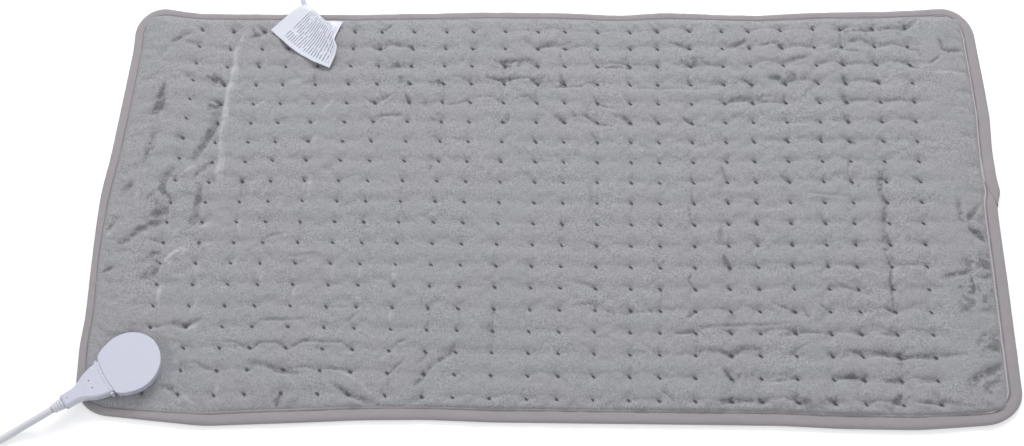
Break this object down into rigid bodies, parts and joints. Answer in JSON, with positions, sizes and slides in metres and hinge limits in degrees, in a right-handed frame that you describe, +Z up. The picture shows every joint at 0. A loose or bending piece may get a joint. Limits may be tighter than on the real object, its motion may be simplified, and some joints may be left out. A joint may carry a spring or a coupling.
{
  "type": "heating pad",
  "caption": "Quilted plush heating pad with a bound edge, a plug-in lead at one corner, and an in-line push-button hand controller with its mains lead coiled.",
  "frame": {"origin": "centre of the pad's underside", "axes": "+X along the pad's long side, away from the corner connector, +Y towards the edge with the care label, +Z up"},
  "size_m": [1.114, 0.4878, 0.022],
  "materials": {
    "plush": "short dense plush pile, quilted",
    "plush_under": "short plush pile, flat",
    "binding_tape": "woven binding tape",
    "stitching": "spun thread",
    "wadding": "needled fibre",
    "carrier": "thin nonwoven",
    "wire_jacket": "smooth extruded jacket",
    "label_satin": "satin ribbon",
    "gloss_shell": "moulded, glossy",
    "inner_shell": "moulded, satin",
    "cord_jacket": "smooth extruded jacket, soft sheen",
    "insulator": "moulded",
    "brass": "plated",
    "steel": "zinc plated",
    "window": "smoked clear",
    "board": "solder mask",
    "relay": "moulded",
    "button": "moulded, satin"
  },
  "bodies": {
    "root": {"bottom_cover": "plush_under", "lower_wadding": "wadding", "element_carrier": "carrier", "heating_wire": "wire_jacket", "upper_wadding": "wadding", "top_cover": "plush", "edge_binding": "binding_tape", "binding_stitching": "stitching", "care_label": "label_satin", "receptacle_backing_plate": "steel", "receptacle_base": "inner_shell", "receptacle_housing": "gloss_shell", "receptacle_screw_1": "steel", "receptacle_screw_2": "steel", "receptacle_screw_3": "steel", "receptacle_contact_block": "insulator", "receptacle_pin_1": "brass", "receptacle_pin_2": "brass", "receptacle_pin_3": "brass", "thermal_cutout": "insulator"},
    "lead_set": {"plug_upper_shell": "gloss_shell", "plug_lower_shell": "gloss_shell", "plug_contact_carrier": "insulator", "plug_contact_1": "brass", "plug_contact_2": "brass", "plug_contact_3": "brass", "plug_strain_relief": "cord_jacket", "pad_lead_out": "cord_jacket", "pad_lead_coil": "cord_jacket", "pad_lead_in": "cord_jacket", "controller_lower_shell": "gloss_shell", "controller_upper_shell": "gloss_shell", "controller_board": "board", "controller_screw_1": "steel", "controller_screw_2": "steel", "controller_screw_3": "steel", "controller_screw_4": "steel", "display_window": "window", "display_module": "insulator", "button_switch_1": "insulator", "button_switch_2": "insulator", "button_switch_3": "insulator", "button_switch_4": "insulator", "heater_relay": "relay", "mains_fuse": "steel", "controller_pad_relief": "cord_jacket", "controller_mains_relief": "cord_jacket", "mains_lead_in": "cord_jacket", "mains_lead_coil": "cord_jacket", "mains_lead_out": "cord_jacket", "mains_plug_body": "cord_jacket", "mains_plug_blade_1": "brass", "mains_plug_blade_2": "brass", "mains_plug_relief": "cord_jacket"},
    "button_warmer": {"button_warmer": "button"},
    "button_cooler": {"button_cooler": "button"},
    "button_timer": {"button_timer": "button"},
    "button_power": {"button_power": "button"}
  },
  "joints": [
    {"name": "plug_pull", "type": "slide", "parent": "root", "child": "lead_set", "axis": [-0.8241, -0.5664, 0], "range_m": [0, 0.02]},
    {"name": "press_warmer", "type": "slide", "parent": "lead_set", "child": "button_warmer", "axis": [0, 0, -1], "range_m": [0, 0.0009], "stiffness_N_per_m": 800},
    {"name": "press_cooler", "type": "slide", "parent": "lead_set", "child": "button_cooler", "axis": [0, 0, -1], "range_m": [0, 0.0009], "stiffness_N_per_m": 800},
    {"name": "press_timer", "type": "slide", "parent": "lead_set", "child": "button_timer", "axis": [0, 0, -1], "range_m": [0, 0.0009], "stiffness_N_per_m": 800},
    {"name": "press_power", "type": "slide", "parent": "lead_set", "child": "button_power", "axis": [0, 0, -1], "range_m": [0, 0.0009], "stiffness_N_per_m": 800}
  ]
}
